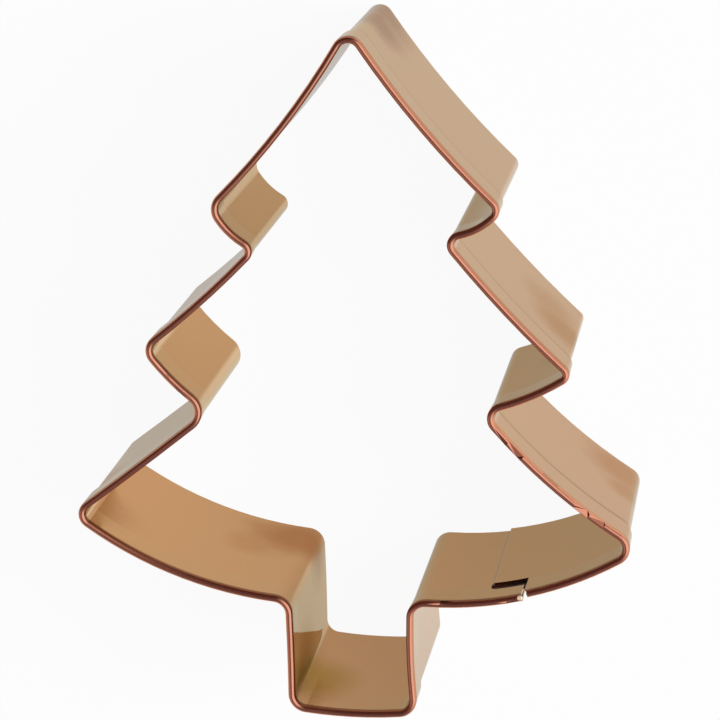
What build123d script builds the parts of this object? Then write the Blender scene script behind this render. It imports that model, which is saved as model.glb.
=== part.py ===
from build123d import *
import os

os.makedirs("parts", exist_ok=True)

# Size of the outline, measured along the middle of the rolled rim
tree_height = 79.0
tree_width = 64.8

# The strip on edge: its depth from rim to cutting edge, and the thickness of its sheet
strip_depth = 25.0
sheet = 0.25

# The rolled rim: the width of its round bead, how far the folded flap reaches down,
# the room left in the fold, and how far the wall's inner face lies inside the bead's middle
bead_width = 0.8
flap_reach = 4.9
fold_gap = 0.03
wall_set = 0.18

# Radius of the widest bend at a corner
widest_bend = 2.1

# The lapped joint: the gap between the two ends of the rim, and the tab's length and its drop below the rim
rim_gap = 0.45
tab_length = 3.66
tab_drop = 5.5

# The round button that closes the rim's left end, set back a little, and the snip off its right end's corner
button_share = 0.97
button_set = 0.2
snip_width = 0.3
snip_height = 1.1

# The slot that frees the wall from the stiff rim beside the tab: how far it reaches past the tab's end,
# its height, and the rounding of its end
slot_reach = 0.3
slot_height = 1.4
slot_round = 0.7

# The solder: the film inside the lap, how far it is squeezed out past the tab's end and stays from
# the cutting edge, the skin that bridges the slot, the ledge that joins the two,
# and how far the skin rises in the gap and stays from the rim's right end
solder_film = 0.05
solder_squeeze = 0.3
solder_margin = 0.4
solder_skin = 0.12
solder_ledge = 0.25
solder_rise = 0.75
solder_clear = 0.01

# Corners of the outline, counterclockwise from the lower right tip: how far across and up they lie,
# their bend as a share of the widest, and how far the side that follows bows inward, as a share of its length
corner_shares = {
    "low_right_tip": (0.502, 0.262, 0.8, 0.045),
    "mid_right_notch": (0.223, 0.46, 0.7, -0.05),
    "mid_right_tip": (0.377, 0.516, 0.4, 0.02),
    "top_right_notch": (0.155, 0.71, 0.55, -0.12),
    "top_right_tip": (0.255, 0.75, 0.55, 0.03),
    "apex": (-0.002, 1.0, 0.7, 0.035),
    "top_left_tip": (-0.24, 0.745, 0.9, -0.10),
    "top_left_notch": (-0.166, 0.685, 0.5, 0.02),
    "mid_left_tip": (-0.364, 0.536, 0.75, -0.045),
    "mid_left_notch": (-0.25, 0.445, 1.0, 0.005),
    "low_left_tip": (-0.498, 0.283, 0.65, -0.075),
    "left_stem_root": (-0.116, 0.165, 0.9, 0.005),
    "left_stem_foot": (-0.112, 0.0, 0.85, -0.035),
    "right_stem_foot": (0.108, 0.0, 0.85, 0.02),
    "right_stem_root": (0.101, 0.17, 0.85, -0.085),
}

# Where the rim's left end stands on the underside that carries the joint
seam_share = 0.465

up = Vector(0, 0, 1)
names = list(corner_shares)


def corner(name):
    across_share, up_share = corner_shares[name][:2]
    return Vector(across_share * tree_width, up_share * tree_height)


def side(name, start, end):
    bow_share = corner_shares[name][3]
    return SagittaArc(start, end, bow_share * (end - start).length)


# The underside that carries the joint; the strip's inner end runs one lap step inside it
corners = {name: corner(name) for name in names}
underside = side("right_stem_root", corners["right_stem_root"], corners["low_right_tip"])
lap_step = sheet + solder_film


def lapped_in(share):
    radius_share = 1 - lap_step / underside.radius
    return underside.arc_center + (underside @ share - underside.arc_center) * radius_share


def lapped_arc(start_share, end_share):
    middle_share = (start_share + end_share) / 2
    return ThreePointArc(lapped_in(start_share), lapped_in(middle_share), lapped_in(end_share))


notch_share = seam_share + rim_gap / underside.length
tab_end_share = seam_share - tab_length / underside.length
corners["low_right_tip"] = lapped_in(1)

# The line that the rim follows, from its right end round to its left end, with its corners bent
sides = [lapped_arc(notch_share, 1)]
sides += [side(name, corners[name], corners[after]) for name, after in zip(names, names[1:])]
sides += [underside.trim(0, seam_share)]
rim_line = Wire(sides)
for name in names:
    bend = rim_line.vertices().sort_by_distance(corners[name])[0]
    rim_line = rim_line.fillet_2d(corner_shares[name][2] * widest_bend, [bend])

# Everything is set out about the middle of the outline
middle = rim_line.bounding_box().center()
rim_line = Pos(-middle) * rim_line
tab_line = Pos(-middle) * lapped_arc(tab_end_share, notch_share)
lap_line = Pos(-middle) * underside.trim(tab_end_share, seam_share)
slot_start_share = tab_end_share - 2 * slot_reach / underside.length
slot_line = Pos(-middle) * underside.trim(slot_start_share, seam_share)
film_start_share = tab_end_share - solder_squeeze / underside.length
film_line = Pos(-middle) * underside.trim(film_start_share, seam_share)
gap_end_share = notch_share - solder_clear / underside.length
gap_line = Pos(-middle) * underside.trim(seam_share, gap_end_share)


def along(line, section):
    heading = line % 0
    start = Plane(line @ 0, x_dir=heading.cross(up), z_dir=-heading)
    return sweep(start * section, path=line)


def band(line, inner, outer, bottom, top):
    section = Polygon((inner, bottom), (outer, bottom), (outer, top), (inner, top), align=None)
    return along(line, section)


# An outline drawn from the tab's end towards the rim's gap, as a prism through both walls
def through_lap(outline):
    reach = (lap_line @ 1 - lap_line @ 0).normalized()
    face = Plane(lap_line @ 0, x_dir=reach, z_dir=reach.cross(up))
    return extrude(face * outline, amount=2 * bead_width, both=True)


# The sheet's section: a wall, kinked where the flap ends, rolled over the bead and down again.
# Its outline is the face that stays outside in the fold, and the sheet lies within it.
inner_face = -wall_set
outer_face = inner_face + sheet
flap_face = outer_face + fold_gap + sheet
flap_foot = strip_depth - flap_reach
bead_middle = Vector(0, strip_depth - bead_width / 2)
bead = CenterArc(bead_middle, bead_width / 2, 0, 360)
wall_lean = ConstrainedLines(bead, (inner_face, flap_foot)).edges()[0]
flap_lean = ConstrainedLines(bead, (flap_face, flap_foot)).edges()[1]
wall = Line((inner_face, 0), (inner_face, flap_foot))
roll = ThreePointArc(wall_lean @ 0, (0, strip_depth), flap_lean @ 0)
folded_face = Wire([wall, wall_lean, roll, flap_lean])
sheet_outline = folded_face.offset_2d(sheet, kind=Kind.INTERSECTION, side=Side.RIGHT)
sheet_section = make_face(sheet_outline)

# The slot, rounded at its closed end and open to the rim's gap
tab_top = strip_depth - tab_drop
slot_top = tab_top + slot_height
mouth = tab_length + rim_gap / 2
slot_outline = Polygon(
    (-slot_reach, tab_top),
    (mouth, tab_top),
    (mouth, slot_top),
    (-slot_reach, slot_top),
    align=None,
)
slot_end = slot_outline.vertices().group_by(Axis.X)[0].sort_by(Axis.Y)[-1]
slot = through_lap(fillet(slot_end, slot_round))
slot_space = band(slot_line, inner_face - sheet, outer_face + fold_gap / 2, tab_top, strip_depth)

# The snip across the rim's right end, from the middle of the gap to the corner that it takes off
right_end = tab_length + rim_gap
snip = through_lap(
    Polygon(
        (mouth, strip_depth),
        (mouth, strip_depth - snip_height),
        (right_end, strip_depth - snip_height),
        (right_end + snip_width, strip_depth),
        align=None,
    )
)

# The button that closes the rim's left end
left_end = rim_line @ 1 + up * (strip_depth - bead_width / 2)
button = Pos(left_end - (rim_line % 1) * button_set) * Sphere(button_share * bead_width / 2)

# The strip: one sheet all round, its plain tab and the snip at the right end, slot and button at the left end
tab = band(tab_line, inner_face, outer_face, 0, tab_top)
cutter_strip = along(rim_line, sheet_section) + tab - (slot & slot_space) - snip + button

# The solder: a film between tab and wall, a ledge over its top that runs on across the gap,
# and a thin skin across the slot and the gap
skin_face = inner_face + (sheet - solder_skin) / 2
ledge_top = tab_top + solder_ledge
film = band(film_line, inner_face - solder_film, inner_face, solder_margin, ledge_top)
ledge = band(lap_line, inner_face, skin_face, tab_top, ledge_top)
gap_ledge = band(gap_line, inner_face - solder_film, skin_face, tab_top, ledge_top)
skin = slot & band(slot_line, skin_face, skin_face + solder_skin, tab_top, strip_depth)
tongue = band(gap_line, skin_face, skin_face + solder_skin, tab_top, slot_top + solder_rise)
lap_solder = film + ledge + gap_ledge + skin + tongue

export_step(cutter_strip, "parts/cutter_strip.step")
export_step(lap_solder, "parts/lap_solder.step")
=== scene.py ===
import math

import bpy
from mathutils import Matrix, Vector


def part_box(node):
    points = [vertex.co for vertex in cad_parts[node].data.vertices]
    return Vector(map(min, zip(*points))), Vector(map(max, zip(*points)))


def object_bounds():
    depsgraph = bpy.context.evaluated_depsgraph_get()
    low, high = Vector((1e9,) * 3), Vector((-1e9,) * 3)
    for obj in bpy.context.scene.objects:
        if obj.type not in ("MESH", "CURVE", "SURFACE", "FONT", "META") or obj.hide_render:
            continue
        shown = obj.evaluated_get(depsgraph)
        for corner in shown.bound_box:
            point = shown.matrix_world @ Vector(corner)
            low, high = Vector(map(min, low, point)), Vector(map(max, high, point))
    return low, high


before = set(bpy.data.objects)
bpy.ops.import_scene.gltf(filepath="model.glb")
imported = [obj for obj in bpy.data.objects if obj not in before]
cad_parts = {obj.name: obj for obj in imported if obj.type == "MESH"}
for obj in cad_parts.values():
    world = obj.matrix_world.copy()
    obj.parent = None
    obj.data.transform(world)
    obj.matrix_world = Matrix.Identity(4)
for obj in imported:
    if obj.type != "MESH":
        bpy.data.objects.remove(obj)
cad_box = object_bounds()

MM = 0.001

# Heights on the strip, measured from its cutting edge
strip_depth = cad_box[1].z
bead_width = 0.8 * MM
bead_foot = strip_depth - bead_width
fold_foot = strip_depth - 4.9 * MM
slot_foot = strip_depth - 5.5 * MM

# The camera: where it stands, the point it looks at, its lens, how far the picture is turned, and its reach
camera_place = Vector((49.1, 91.68, 337.54)) * MM
camera_aim = Vector((1.3, 3.32, 25.0)) * MM
camera_lens = 147.8
picture_turn = math.radians(-0.475)
nearest_seen, farthest_seen = 0.01, 20.0


class Term:
    """The output of a node; sums and products of terms add the Math nodes that work them out"""

    def __init__(self, finish, socket):
        self.finish = finish
        self.socket = socket

    def math(self, operation, *others):
        return self.finish.node("ShaderNodeMath", {"operation": operation}, [self, *others])

    def __add__(self, other):
        return self.math("ADD", other)

    def __sub__(self, other):
        return self.math("SUBTRACT", other)

    def __mul__(self, other):
        return self.math("MULTIPLY", other)

    def __rsub__(self, other):
        return self.finish.node("ShaderNodeMath", {"operation": "SUBTRACT"}, [other, self])

    __radd__ = __add__
    __rmul__ = __mul__

    def __abs__(self):
        return self.math("ABSOLUTE")

    def above(self, level):
        return self.math("GREATER_THAN", level)

    def below(self, level):
        return self.math("LESS_THAN", level)

    def most(self, other):
        return self.math("MAXIMUM", other)

    def ramp(self, start, end):
        """0 where the term is at start, 1 where it is at end, and smooth between"""
        settings = {"interpolation_type": "SMOOTHSTEP"}
        sockets = {"Value": self, "From Min": start, "From Max": end}
        return self.finish.node("ShaderNodeMapRange", settings, sockets)


class Finish:
    """A material, or the world, whose nodes are added one by one"""

    def __init__(self, name, owner=None):
        self.owner = owner or bpy.data.materials.new(name)
        self.owner.use_nodes = True
        self.tree = self.owner.node_tree
        self.tree.nodes.clear()

    def node(self, kind, settings=None, sockets=None, out=0):
        """Adds a node, with its settings first and then its sockets, and gives one of its outputs"""
        made = self.tree.nodes.new(kind)
        for name, value in (settings or {}).items():
            setattr(made, name, value)
        pairs = sockets.items() if isinstance(sockets, dict) else enumerate(sockets or [])
        for name, value in pairs:
            if isinstance(value, Term):
                self.tree.links.new(value.socket, made.inputs[name])
            elif value is not None:
                made.inputs[name].default_value = value
        return Term(self, made.outputs[out]) if made.outputs else made

    def outputs(self, kind, names, sockets=None):
        """Adds one node and gives several of its outputs"""
        made = self.node(kind, None, sockets).socket.node
        return [Term(self, made.outputs[name]) for name in names]

    def mix(self, share, first, second):
        """A colour that goes from the first to the second as share goes from 0 to 1"""
        settings = {"data_type": "RGBA", "clamp_factor": True}
        return self.node("ShaderNodeMix", settings, {0: share, 6: first, 7: second}, out=2)

    def mix_facing(self, share, first, second):
        """A direction that goes from the first to the second as share goes from 0 to 1"""
        settings = {"data_type": "VECTOR", "clamp_factor": True}
        return self.node("ShaderNodeMix", settings, {0: share, 4: first, 5: second}, out=1)

    def parts(self, vector):
        return self.outputs("ShaderNodeSeparateXYZ", "XYZ", [vector])

    def stretched(self, vector, factors):
        return self.node("ShaderNodeVectorMath", {"operation": "MULTIPLY"}, [vector, factors])

    def distance(self, place, point):
        return self.node("ShaderNodeVectorMath", {"operation": "DISTANCE"}, [place, tuple(point)], out="Value")

    def noise(self, vector, scale, detail, roughness=0.5):
        sockets = {"Vector": vector, "Scale": scale, "Detail": detail, "Roughness": roughness}
        return self.node("ShaderNodeTexNoise", None, sockets)

    def bump(self, height, distance, strength=1.0, normal=None):
        sockets = {"Height": height, "Distance": distance, "Strength": strength, "Normal": normal}
        return self.node("ShaderNodeBump", None, sockets)

    def shade(self, shader):
        self.node("ShaderNodeOutputMaterial", None, {"Surface": shader})
        return self.owner


def rgb(red, green, blue):
    return (red, green, blue, 1.0)


# The outward faces of the strip. Flanks lean to the side they face, so their normal shows it; a level
# underside faces out where it faces the foot of the tree, and the bend at the apex where it faces away.
FLANK = 0.42
APEX_START = 36.0 * MM


def outward(finish, place, normal):
    x, y, _ = finish.parts(place)
    across, up, _ = finish.parts(normal)
    flank_out = (x * across).above(0.0)
    foot_out = up.below(0.0)
    apex_out = up.above(0.0)
    at_apex = y.above(APEX_START)
    level_out = foot_out + at_apex * (apex_out - foot_out)
    is_flank = abs(across).above(FLANK)
    return level_out + is_flank * (flank_out - level_out)


def spot(across, up, height, reach, strength):
    """A patch on the sheet: its middle and its reach in millimetres, and how strong it is"""
    return Vector((across, up, height)) * MM, reach * MM, strength


# Darker, redder copper near the cutting edge and in the slopes' corners
REDDER_PATCHES = [
    spot(29.0, -15.5, 3.5, 7.0, 0.6),
    spot(30.0, -16.0, 9.0, 4.0, 0.5),
    spot(23.0, 4.0, 12.0, 6.5, 0.75),
    spot(21.0, 5.5, 8.0, 6.0, 0.5),
    spot(-9.5, -25.2, 4.5, 8.0, 1.0),
    spot(-14.0, -24.5, 9.0, 5.0, 0.4),
]

# The brown smudge on the outside of the bend at the top of the tree
SMUDGED = [
    spot(0.8, 38.8, 3.0, 7.0, 0.8),
    spot(0.8, 38.6, 8.5, 7.0, 0.8),
]

# Painted reflection: the stem's left wall turns brown near its foot, where it mirrors the stem's bottom wall
STEM_PAINTED_REFLECTION = [spot(-6.9, -39.0, 16.0, 8.8, 1.0)]

# Places where the sheet was rubbed dull as its tightest corners were bent
RUBBED = [
    spot(-29.5, -17.6, 17.0, 8.0, 1.0),
    spot(-4.5, -38.8, 20.0, 6.0, 1.0),
]

# Places where the rim has coarse faces, which are shaded flat
COARSE = [
    spot(18.0, -6.2, 24.8, 5.0, 1.0),
    spot(27.1, -13.8, 24.8, 5.0, 1.0),
]
COARSE_EDGE = 0.01

# How finely each kind of patch is broken up, and how ragged its edge is
PATCH_GRAIN = 180.0
STEM_REFLECTION_GRAIN = 60.0
RUB_GRAIN = 120.0
COARSE_GRAIN = 1.0
RAGGED_DETAIL = 3.0
RAGGED_LEAST = 0.6
RAGGED_SPREAD = 0.8

# The share of its reach within which a patch has its full strength
PATCH_CORE = 0.2


def patches(finish, place, spots, grain):
    """Soft, ragged patches: full in the middle of each spot, falling to 0 at its reach"""
    total = None
    ragged = finish.noise(place, grain, RAGGED_DETAIL) * RAGGED_SPREAD + RAGGED_LEAST
    for centre, reach, strength in spots:
        away = finish.distance(place, centre) * ragged
        near = away.ramp(reach, PATCH_CORE * reach) * strength
        total = near if total is None else total.most(near)
    return total


# The facing of a wall, as its normal's x, at which one copper tone starts or has given way to the next; the
# tones that change with facing are painted reflection and shade
LEFTWARD, LEVEL, SQUARE, SLANTED, RIGHTWARD = -0.4, 0.0, 0.35, 0.8, 0.95

# The copper tones below that change with a wall's facing are painted: darker on inner faces that look left,
# paler on faces that look to the sides, as reflections of the room
INNER_COPPER = rgb(0.70, 0.37, 0.182)
INNER_LEFT_PAINTED_SHADE = rgb(0.67, 0.37, 0.20)
INNER_RIGHT_PAINTED_SHEEN = rgb(1.0, 0.66, 0.43)
OUTER_COPPER = rgb(0.71, 0.42, 0.30)
OUTER_LEFT_PAINTED_SHEEN = rgb(0.88, 0.57, 0.47)
OUTER_RIGHT_PAINTED_SHEEN = rgb(0.88, 0.56, 0.49)
PATCH_RED = rgb(0.52, 0.20, 0.08)
SMUDGE_BROWN = rgb(0.38, 0.13, 0.10)
# A brown painted reflection on the stem's left wall near its foot
STEM_REFLECTION_BROWN = rgb(0.50, 0.26, 0.07)
FOLD_SHADE = rgb(0.46, 0.25, 0.16)

# The painted shade line under the fold: how far below the fold's foot it starts, and where it is full
fold_shade_start = fold_foot - 1.9 * MM
fold_shade_full = fold_foot - 0.9 * MM


def wall_tone(finish, place, facing, height, outer):
    """The walls' copper with painted reflection and shade by facing, patches of redder copper, a painted
    reflection on the stem's left wall, a smudge and the painted shade line under the fold
    """
    inner_tone = finish.mix(facing.ramp(LEFTWARD, SQUARE), INNER_LEFT_PAINTED_SHADE, INNER_COPPER)
    inner_tone = finish.mix(facing.ramp(SLANTED, RIGHTWARD), inner_tone, INNER_RIGHT_PAINTED_SHEEN)
    inner_tone = finish.mix(patches(finish, place, STEM_PAINTED_REFLECTION, STEM_REFLECTION_GRAIN), inner_tone, STEM_REFLECTION_BROWN)
    outer_tone = finish.mix(facing.ramp(LEVEL, LEFTWARD), OUTER_COPPER, OUTER_LEFT_PAINTED_SHEEN)
    outer_tone = finish.mix(facing.ramp(SLANTED, RIGHTWARD), outer_tone, OUTER_RIGHT_PAINTED_SHEEN)
    wall = finish.mix(outer, inner_tone, outer_tone)
    wall = finish.mix(patches(finish, place, REDDER_PATCHES, PATCH_GRAIN), wall, PATCH_RED)
    wall = finish.mix(patches(finish, place, SMUDGED, PATCH_GRAIN), wall, SMUDGE_BROWN)
    # Painted shade in a band just under the fold on the outside
    under_fold_shade = height.ramp(fold_shade_start, fold_shade_full) * height.below(fold_foot) * outer
    return finish.mix(under_fold_shade, wall, FOLD_SHADE)


BEAD_COPPER = rgb(0.80, 0.33, 0.185)
# Painted shade in the crease along the bead's foot
CREASE_SHADE = rgb(0.16, 0.04, 0.015)

# Heights on the bead, as shares of its width from its foot: how far its tone blends into the wall, where
# the crease's painted shade starts, where it is still full and where it ends, and where it ends on coarse
# faces
BEAD_BLEND = 0.1
CREASE_START, CREASE_FULL, CREASE_END = -0.12, 0.6, 0.85
COARSE_CREASE_END = 0.15

# How strong the crease's painted shade is, and how much of it goes outside, on the sides that catch the light
CREASE_STRENGTH = 0.85
OPEN_SIDE_LOSS = 0.5

# The facings at which the right and the left sides start to catch the light, and catch it in full
RIGHT_OPEN = (0.3, 0.6)
LEFT_OPEN = (-0.8, -0.95)


def up_bead(share):
    return bead_foot + share * bead_width


def crease_shade_share(facing, height, outer, coarse):
    """How much of the crease's painted shade lies on the lower part of the bead"""
    crease = height.ramp(up_bead(CREASE_START), bead_foot)
    crease = crease * height.ramp(up_bead(CREASE_END), up_bead(CREASE_FULL))
    crease = crease * (1.0 - coarse * height.ramp(bead_foot, up_bead(COARSE_CREASE_END)))
    open_side = facing.ramp(*RIGHT_OPEN).most(facing.ramp(*LEFT_OPEN))
    return crease * (CREASE_STRENGTH - outer * open_side * OPEN_SIDE_LOSS)


# The round button that closes the rim's left end: the middle of its top, where the highlight painted on it is
# full and where it ends, the highlight's tone, and how far it is from being metal-bright
BUTTON = Vector((19.3, -23.93, 24.97)) * MM
glint_full = 0.30 * MM
glint_end = 0.36 * MM
BUTTON_HIGHLIGHT = rgb(1.0, 0.80, 0.52)
GLINT_DULLING = 0.8

# The sheet's roughness: of the polished copper, and what clouds, rolling lines, bead, rubbing and the button's
# painted highlight add
POLISHED = 0.03
CLOUD_ROUGHNESS = 0.05
ROLLING_ROUGHNESS = 0.02
BEAD_ROUGHNESS = 0.16
RUBBED_ROUGHNESS = 0.22
GLINT_ROUGHNESS = 0.3

# The fine lines left along the strip by rolling, and the soft clouds of handling
ROLLING_LINES = (30.0, 30.0, 2400.0)
ROLLING_SCALE, ROLLING_DETAIL, ROLLING_BREAK = 1.0, 4.0, 0.6
ROLLING_DEPTH = 0.003 * MM
ROLLING_STRENGTH = 0.3
CLOUD_SCALE, CLOUD_DETAIL = 90.0, 3.0

# The tint that the copper keeps at a glancing angle
EDGE_TINT = rgb(0.75, 0.75, 0.60)


def copper_sheet():
    """Bright rolled copper: walls with painted reflection and shade, a redder bead over a crease of painted
    shade, and a painted highlight on the button's top
    """
    finish = Finish("copper_sheet")
    place = finish.node("ShaderNodeTexCoord", out="Object")
    normal, flat = finish.outputs("ShaderNodeNewGeometry", ("Normal", "True Normal"))
    _, _, height = finish.parts(place)
    facing, _, _ = finish.parts(normal)
    outer = outward(finish, place, normal)
    coarse = patches(finish, place, COARSE, COARSE_GRAIN).above(COARSE_EDGE)
    on_bead = height.ramp(up_bead(-BEAD_BLEND), up_bead(BEAD_BLEND))
    # The highlight painted on the button's top
    button_glint = finish.distance(place, BUTTON).ramp(glint_end, glint_full)

    tone = finish.mix(on_bead, wall_tone(finish, place, facing, height, outer), BEAD_COPPER)
    tone = finish.mix(crease_shade_share(facing, height, outer, coarse), tone, CREASE_SHADE)
    tone = finish.mix(button_glint, tone, BUTTON_HIGHLIGHT)

    lines = finish.stretched(place, ROLLING_LINES)
    rolling = finish.noise(lines, ROLLING_SCALE, ROLLING_DETAIL, ROLLING_BREAK)
    clouds = finish.noise(place, CLOUD_SCALE, CLOUD_DETAIL)
    rubbed = patches(finish, place, RUBBED, RUB_GRAIN)
    roughness = POLISHED + clouds * CLOUD_ROUGHNESS + rolling * ROLLING_ROUGHNESS
    roughness = roughness + on_bead * BEAD_ROUGHNESS + rubbed * RUBBED_ROUGHNESS + button_glint * GLINT_ROUGHNESS
    shape = finish.mix_facing(coarse, normal, flat)
    shader = finish.node(
        "ShaderNodeBsdfPrincipled",
        None,
        {
            "Base Color": tone,
            "Metallic": 1.0 - button_glint * GLINT_DULLING,
            "Specular Tint": EDGE_TINT,
            "Roughness": roughness,
            "Normal": finish.bump(rolling * (1.0 - on_bead), ROLLING_DEPTH, ROLLING_STRENGTH, shape),
        },
    )
    return finish.shade(shader)


SOLDER_BROWN = rgb(0.13, 0.032, 0.012)
SOLDER_OLIVE = rgb(0.032, 0.032, 0.014)
SEAM_COPPER = rgb(0.42, 0.25, 0.10)

# The solder's grain: its scale and detail, its middle value, and how far it breaks up the change of tone
GRAIN_SCALE, GRAIN_DETAIL = 1500.0, 4.0
GRAIN_MIDDLE = 0.5
GRAIN_BREAK = 0.5
GRAIN_DEPTH = 0.03 * MM

# How far below the slot the seam's tone is full, and the solder's gloss and roughness
seam_full = slot_foot - 0.6 * MM
SOLDER_GLOSS = 0.25
SOLDER_ROUGHNESS = 0.45
GRAIN_ROUGHNESS = 0.2
SEAM_POLISH = 0.3


def dark_slot_solder():
    """Dark solder in the slot: red-brown at the slot's closed end, olive at its mouth, coppery in the seam"""
    finish = Finish("dark_slot_solder")
    place = finish.node("ShaderNodeTexCoord", out="Object")
    x, _, height = finish.parts(place)
    low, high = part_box("lap_solder")
    grain = finish.noise(place, GRAIN_SCALE, GRAIN_DETAIL)
    across = x.ramp(low.x, high.x) + (grain - GRAIN_MIDDLE) * GRAIN_BREAK
    in_seam = height.ramp(slot_foot, seam_full)
    tone = finish.mix(across, SOLDER_BROWN, SOLDER_OLIVE)
    tone = finish.mix(in_seam, tone, SEAM_COPPER)
    shader = finish.node(
        "ShaderNodeBsdfPrincipled",
        None,
        {
            "Base Color": tone,
            "Metallic": in_seam,
            "Specular IOR Level": SOLDER_GLOSS,
            "Roughness": SOLDER_ROUGHNESS + grain * GRAIN_ROUGHNESS - in_seam * SEAM_POLISH,
            "Normal": finish.bump(grain, GRAIN_DEPTH),
        },
    )
    return finish.shade(shader)


PAPER = rgb(0.86, 0.86, 0.86)
WHITE = rgb(1.0, 1.0, 1.0)

# How much of the floor is plain white to the eye and in the metal, and how far it reaches to each side
EYE_SHARE = 0.94
METAL_SHARE = 0.55
floor_reach = 4.0


def floor_paper():
    """White paper that shows white to the eye and in the metal, and keeps the cutter's shadow"""
    finish = Finish("floor_paper")
    rays = ("Is Camera Ray", "Is Glossy Ray", "Is Transmission Ray")
    eye, glossy, through = finish.outputs("ShaderNodeLightPath", rays)
    matt = finish.node("ShaderNodeBsdfDiffuse", None, {"Color": PAPER})
    plain = finish.node("ShaderNodeEmission", None, {"Color": WHITE, "Strength": 1.0})
    share = (eye * EYE_SHARE).most(glossy.most(through) * METAL_SHARE)
    return finish.shade(finish.node("ShaderNodeMixShader", None, [share, matt, plain]))


def lay_floor():
    sides = (-floor_reach, floor_reach)
    corners = [(x, y, 0.0) for x in sides for y in sides]
    mesh = bpy.data.meshes.new("floor")
    mesh.from_pydata(corners, [], [(0, 2, 3, 1)])
    floor = bpy.data.objects.new("floor", mesh)
    bpy.context.scene.collection.objects.link(floor)
    mesh.materials.append(floor_paper())


# The lamp on the joint's side: the way it lies, how far off, how wide, and how bright its face is
LAMP_WAY = Vector((0.80, 0.10, 0.59)).normalized()
lamp_distance = 1.2
lamp_width = 0.5
LAMP_RADIANCE = 15.0


def hang_lamp():
    """A square soft lamp that faces the cutter and doesn't show in the metal"""
    data = bpy.data.lights.new("side_light", "AREA")
    data.shape = "SQUARE"
    data.size = lamp_width
    data.energy = LAMP_RADIANCE * math.pi * lamp_width * lamp_width
    lamp = bpy.data.objects.new("side_light", data)
    lamp.location = camera_aim + LAMP_WAY * lamp_distance
    lamp.rotation_euler = LAMP_WAY.to_track_quat("Z", "Y").to_euler()
    lamp.visible_glossy = False
    bpy.context.scene.collection.objects.link(lamp)


ROOM_DARK = rgb(0.085, 0.05, 0.06)
ROOM_BEHIND = rgb(0.17, 0.15, 0.22)
ROOM_SIDES = rgb(0.40, 0.35, 0.38)
WINDOW = rgb(1.1, 1.15, 1.35)
WINDOW_WAY = Vector((0.7, -0.05, 0.71)).normalized()

# Where each part of the room starts and is full, as shares of the way across or along it, and the
# window's soft edge, as the cosine of the angle from its middle
RIGHT_SIDE = (0.15, 0.55)
LEFT_SIDE = (-0.15, -0.55)
LEFT_SIDE_ALONG = (0.1, -0.3)
BEHIND = (0.0, -0.7)
WINDOW_EDGE = (0.66, 0.9)


def set_room():
    """A dim room, with a wide soft window on the joint's side and pale sides, that is white to the eye"""
    world = bpy.data.worlds.new("studio")
    bpy.context.scene.world = world
    room = Finish("studio", world)
    way = room.node("ShaderNodeTexCoord", out="Generated")
    across, along, _ = room.parts(way)
    sides = across.ramp(*RIGHT_SIDE).most(across.ramp(*LEFT_SIDE) * along.ramp(*LEFT_SIDE_ALONG))
    settings = {"operation": "DOT_PRODUCT"}
    near = room.node("ShaderNodeVectorMath", settings, [way, tuple(WINDOW_WAY)], out="Value")
    tone = room.mix(along.ramp(*BEHIND), ROOM_DARK, ROOM_BEHIND)
    tone = room.mix(sides, tone, ROOM_SIDES)
    tone = room.mix(near.ramp(*WINDOW_EDGE), tone, WINDOW)
    eye = room.node("ShaderNodeLightPath", out="Is Camera Ray")
    sockets = {"Color": room.mix(eye, tone, WHITE), "Strength": 1.0}
    background = room.node("ShaderNodeBackground", None, sockets)
    room.node("ShaderNodeOutputWorld", None, {"Surface": background})


def set_camera():
    data = bpy.data.cameras.new("camera")
    data.lens = camera_lens
    data.clip_start, data.clip_end = nearest_seen, farthest_seen
    camera = bpy.data.objects.new("camera", data)
    back = (camera_place - camera_aim).normalized()
    right = Vector((0.0, 1.0, 0.0)).cross(back).normalized()
    level = Matrix((right, back.cross(right), back)).transposed()
    camera.location = camera_place
    camera.rotation_euler = (Matrix.Rotation(picture_turn, 3, back) @ level).to_euler()
    bpy.context.scene.collection.objects.link(camera)
    bpy.context.scene.camera = camera


def finish_node(node, material):
    """The node's one material slot takes the finish"""
    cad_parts[node].material_slots[0].material = material


set_camera()
lay_floor()
hang_lamp()
set_room()
finish_node("cutter_strip", copper_sheet())
finish_node("lap_solder", dark_slot_solder())
bpy.context.scene.view_settings.view_transform = "Standard"
